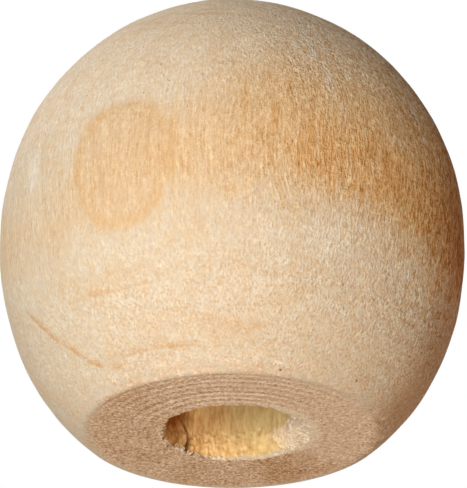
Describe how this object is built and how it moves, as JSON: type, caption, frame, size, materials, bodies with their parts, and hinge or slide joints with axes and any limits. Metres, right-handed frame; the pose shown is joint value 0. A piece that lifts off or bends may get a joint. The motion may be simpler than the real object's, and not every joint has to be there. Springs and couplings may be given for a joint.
{
  "type": "wooden doll head",
  "caption": "Plain turned wooden doll head with a flat at the neck and a drilled blind socket for a neck peg, worn and torn at its mouth.",
  "frame": {"origin": "centre of the flat that the head stands on", "axes": "+Z from the flat through the crown, along the grain; the neck socket opens along -Z; the worn side of its mouth is towards +X"},
  "size_m": [0.04, 0.04, 0.0392],
  "materials": {
    "raw_birch": "turned and left raw, with fine grain running from the neck to the crown"
  },
  "bodies": {
    "root": {"doll_head": "raw_birch"}
  },
  "joints": []
}
